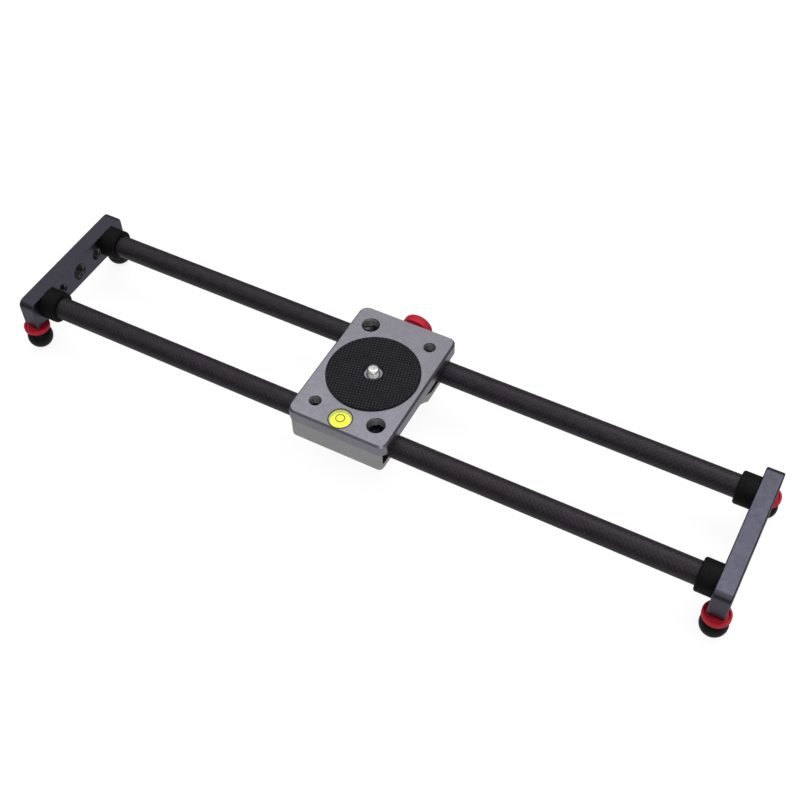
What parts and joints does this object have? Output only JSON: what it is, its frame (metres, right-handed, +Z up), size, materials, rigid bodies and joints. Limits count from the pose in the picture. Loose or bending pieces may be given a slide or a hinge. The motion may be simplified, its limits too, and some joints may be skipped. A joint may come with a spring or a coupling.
{
  "type": "camera slider",
  "caption": "Short tabletop camera slider: twin round tubes between end plates on screw feet, with a rolling carriage, camera screw, level and brake knob.",
  "frame": {"origin": "on the surface under the feet, below the middle of the whole object's box", "axes": "+X along the tubes towards the end plate on the right, +Y towards the side with the brake knob, +Z up"},
  "size_m": [0.405, 0.094, 0.0424],
  "materials": {
    "plate_metal": "dark anodised, satin",
    "plain_aluminium": "plain turned",
    "carbon": "satin carbon fibre tube with a faint weave",
    "black_plastic": "matte moulded nylon",
    "foot_rubber": "matte moulded rubber",
    "red_anodised": "red anodised, satin",
    "steel": "plain zinc plated",
    "bright_steel": "bright nickel plated",
    "deck_metal": "titanium grey anodised, fine bead-blasted satin",
    "base_metal": "titanium grey anodised, satin",
    "roller_nylon": "black nylon",
    "bearing_steel": "ground bearing steel",
    "pad_rubber": "dark rubber with a fine pattern of raised dots",
    "level_clear": "clear acrylic",
    "level_lens": "clear acrylic with a printed ring",
    "level_fluid": "yellow-green spirit level fluid"
  },
  "bodies": {
    "rail": {"end_plate_left": "plate_metal", "end_plate_right": "plate_metal", "rod_front": "carbon", "rod_rear": "carbon", "end_screws": "steel", "collar_left_front": "black_plastic", "collar_left_rear": "black_plastic", "collar_right_front": "black_plastic", "collar_right_rear": "black_plastic", "rod_plug_left_front": "plain_aluminium", "rod_plug_left_rear": "plain_aluminium", "rod_plug_right_front": "plain_aluminium", "rod_plug_right_rear": "plain_aluminium"},
    "carriage": {"axle_screws": "steel", "base_front": "base_metal", "base_rear": "base_metal", "bearing_balls": "bearing_steel", "deck": "deck_metal", "deck_screws": "steel", "level_cup": "level_clear", "level_fluid": "level_fluid", "level_lens": "level_lens", "rubber_pad": "pad_rubber", "screw_retainer": "steel", "spacers_lower": "steel", "spacers_upper": "steel", "bearing_inner_left_front": "bearing_steel", "bearing_inner_left_rear": "bearing_steel", "bearing_inner_right_front": "bearing_steel", "bearing_inner_right_rear": "bearing_steel"},
    "camera_screw": {"camera_screw": "bright_steel"},
    "brake_shoe": {"brake_shoe": "black_plastic"},
    "brake_knob": {"brake_stem": "steel", "brake_knob": "red_anodised"},
    "roller_left_front": {"roller_left_front": "roller_nylon", "bearing_outer_left_front": "bearing_steel"},
    "roller_left_rear": {"roller_left_rear": "roller_nylon", "bearing_outer_left_rear": "bearing_steel"},
    "roller_right_front": {"roller_right_front": "roller_nylon", "bearing_outer_right_front": "bearing_steel"},
    "roller_right_rear": {"roller_right_rear": "roller_nylon", "bearing_outer_right_rear": "bearing_steel"},
    "foot_left_front": {"foot_ball_left_front": "foot_rubber", "foot_stud_left_front": "steel"},
    "foot_ring_left_front": {"foot_ring_left_front": "red_anodised"},
    "foot_left_rear": {"foot_ball_left_rear": "foot_rubber", "foot_stud_left_rear": "steel"},
    "foot_ring_left_rear": {"foot_ring_left_rear": "red_anodised"},
    "foot_right_front": {"foot_ball_right_front": "foot_rubber", "foot_stud_right_front": "steel"},
    "foot_ring_right_front": {"foot_ring_right_front": "red_anodised"},
    "foot_right_rear": {"foot_ball_right_rear": "foot_rubber", "foot_stud_right_rear": "steel"},
    "foot_ring_right_rear": {"foot_ring_right_rear": "red_anodised"}
  },
  "joints": [
    {"name": "carriage_slide", "type": "slide", "parent": "rail", "child": "carriage", "axis": [1, 0, 0], "range_m": [-0.1512, 0.1564]},
    {"name": "roller_spin_left_front", "type": "hinge", "parent": "carriage", "child": "roller_left_front", "pos_m": [-0.0156, -0.01938, 0.02554], "axis": [0, 0, 1], "range_deg": [-1900, 1900]},
    {"name": "roller_spin_left_rear", "type": "hinge", "parent": "carriage", "child": "roller_left_rear", "pos_m": [-0.0156, 0.01302, 0.02554], "axis": [0, 0, 1], "range_deg": [-1900, 1900]},
    {"name": "roller_spin_right_front", "type": "hinge", "parent": "carriage", "child": "roller_right_front", "pos_m": [0.0104, -0.01938, 0.02554], "axis": [0, 0, 1], "range_deg": [-1900, 1900]},
    {"name": "roller_spin_right_rear", "type": "hinge", "parent": "carriage", "child": "roller_right_rear", "pos_m": [0.0104, 0.01302, 0.02554], "axis": [0, 0, 1], "range_deg": [-1900, 1900]},
    {"name": "foot_height_left_front", "type": "slide", "parent": "rail", "child": "foot_left_front", "axis": [0, 0, -1], "range_m": [0, 0.005]},
    {"name": "foot_ring_turn_left_front", "type": "hinge", "parent": "rail", "child": "foot_ring_left_front", "pos_m": [-0.19545, -0.03998, 0.0144], "axis": [0, 0, 1], "range_deg": [0, 2260]},
    {"name": "foot_height_left_rear", "type": "slide", "parent": "rail", "child": "foot_left_rear", "axis": [0, 0, -1], "range_m": [0, 0.005]},
    {"name": "foot_ring_turn_left_rear", "type": "hinge", "parent": "rail", "child": "foot_ring_left_rear", "pos_m": [-0.19545, 0.03362, 0.0144], "axis": [0, 0, 1], "range_deg": [0, 2260]},
    {"name": "foot_height_right_front", "type": "slide", "parent": "rail", "child": "foot_right_front", "axis": [0, 0, -1], "range_m": [0, 0.005]},
    {"name": "foot_ring_turn_right_front", "type": "hinge", "parent": "rail", "child": "foot_ring_right_front", "pos_m": [0.19545, -0.03998, 0.0144], "axis": [0, 0, 1], "range_deg": [0, 2260]},
    {"name": "foot_height_right_rear", "type": "slide", "parent": "rail", "child": "foot_right_rear", "axis": [0, 0, -1], "range_m": [0, 0.005]},
    {"name": "foot_ring_turn_right_rear", "type": "hinge", "parent": "rail", "child": "foot_ring_right_rear", "pos_m": [0.19545, 0.03362, 0.0144], "axis": [0, 0, 1], "range_deg": [0, 2260]},
    {"name": "brake_knob_turn", "type": "hinge", "parent": "brake_shoe", "child": "brake_knob", "pos_m": [-0.0027, 0.0444, 0.02554], "axis": [0, 1, 0], "range_deg": [-181, 0]},
    {"name": "brake_shoe_slide", "type": "slide", "parent": "carriage", "child": "brake_shoe", "axis": [0, -1, 0], "range_m": [0, 0.0004]},
    {"name": "camera_screw_turn", "type": "hinge", "parent": "carriage", "child": "camera_screw", "pos_m": [-0.0026, -0.00318, 0.038], "axis": [0, 0, 1], "continuous": true}
  ],
  "couplings": [
    {"joint": "roller_spin_left_front", "follows": "carriage_slide", "rad_per_m": -201.21},
    {"joint": "roller_spin_left_rear", "follows": "carriage_slide", "rad_per_m": 201.21},
    {"joint": "roller_spin_right_front", "follows": "carriage_slide", "rad_per_m": -201.21},
    {"joint": "roller_spin_right_rear", "follows": "carriage_slide", "rad_per_m": 201.21},
    {"joint": "foot_ring_turn_left_front", "follows": "foot_height_left_front", "rad_per_m": 7854},
    {"joint": "foot_ring_turn_left_rear", "follows": "foot_height_left_rear", "rad_per_m": 7854},
    {"joint": "foot_ring_turn_right_front", "follows": "foot_height_right_front", "rad_per_m": 7854},
    {"joint": "foot_ring_turn_right_rear", "follows": "foot_height_right_rear", "rad_per_m": 7854},
    {"joint": "brake_knob_turn", "follows": "brake_shoe_slide", "rad_per_m": -7854}
  ]
}
